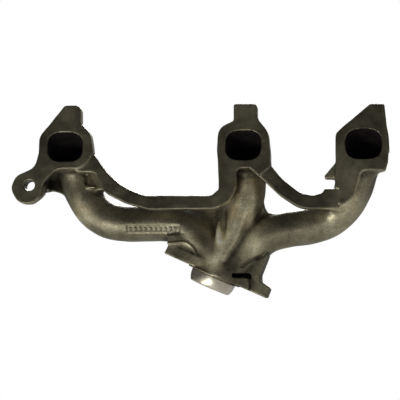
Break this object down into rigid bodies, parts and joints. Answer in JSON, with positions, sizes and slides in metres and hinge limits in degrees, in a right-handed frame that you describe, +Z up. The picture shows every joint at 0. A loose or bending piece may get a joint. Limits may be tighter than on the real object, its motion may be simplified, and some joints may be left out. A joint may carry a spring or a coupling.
{
  "type": "exhaust manifold",
  "caption": "Cast-iron exhaust manifold: port flanges on tie bars, curved runners, and an angled two-bolt outlet with a turned seat ring.",
  "frame": {"origin": "centre of the middle exhaust port, on the head face", "axes": "+X along the engine, +Y away from the cylinder head, +Z up, as installed with the outlet at the bottom"},
  "size_m": [0.3044, 0.0529, 0.1536],
  "materials": {
    "cast_iron": "as-cast skin with a dark grey-brown oxide, faces ground flat",
    "machined_seat": "fine turned, bright"
  },
  "bodies": {
    "root": {"port_flange_left": "cast_iron", "port_flange_middle": "cast_iron", "port_flange_right": "cast_iron", "tie_bar_left": "cast_iron", "tie_bar_right": "cast_iron", "port_elbow_left": "cast_iron", "port_elbow_middle": "cast_iron", "port_elbow_right": "cast_iron", "runner_left": "cast_iron", "runner_middle": "cast_iron", "runner_right": "cast_iron", "collector": "cast_iron", "outlet_flange": "cast_iron", "flange_rib_left_front": "cast_iron", "flange_rib_left_rear": "cast_iron", "flange_rib_right": "cast_iron", "ear_web": "cast_iron", "bar_web_left": "cast_iron", "leg_web": "cast_iron", "runner_web": "cast_iron", "outlet_seat_ring": "machined_seat"}
  },
  "joints": []
}
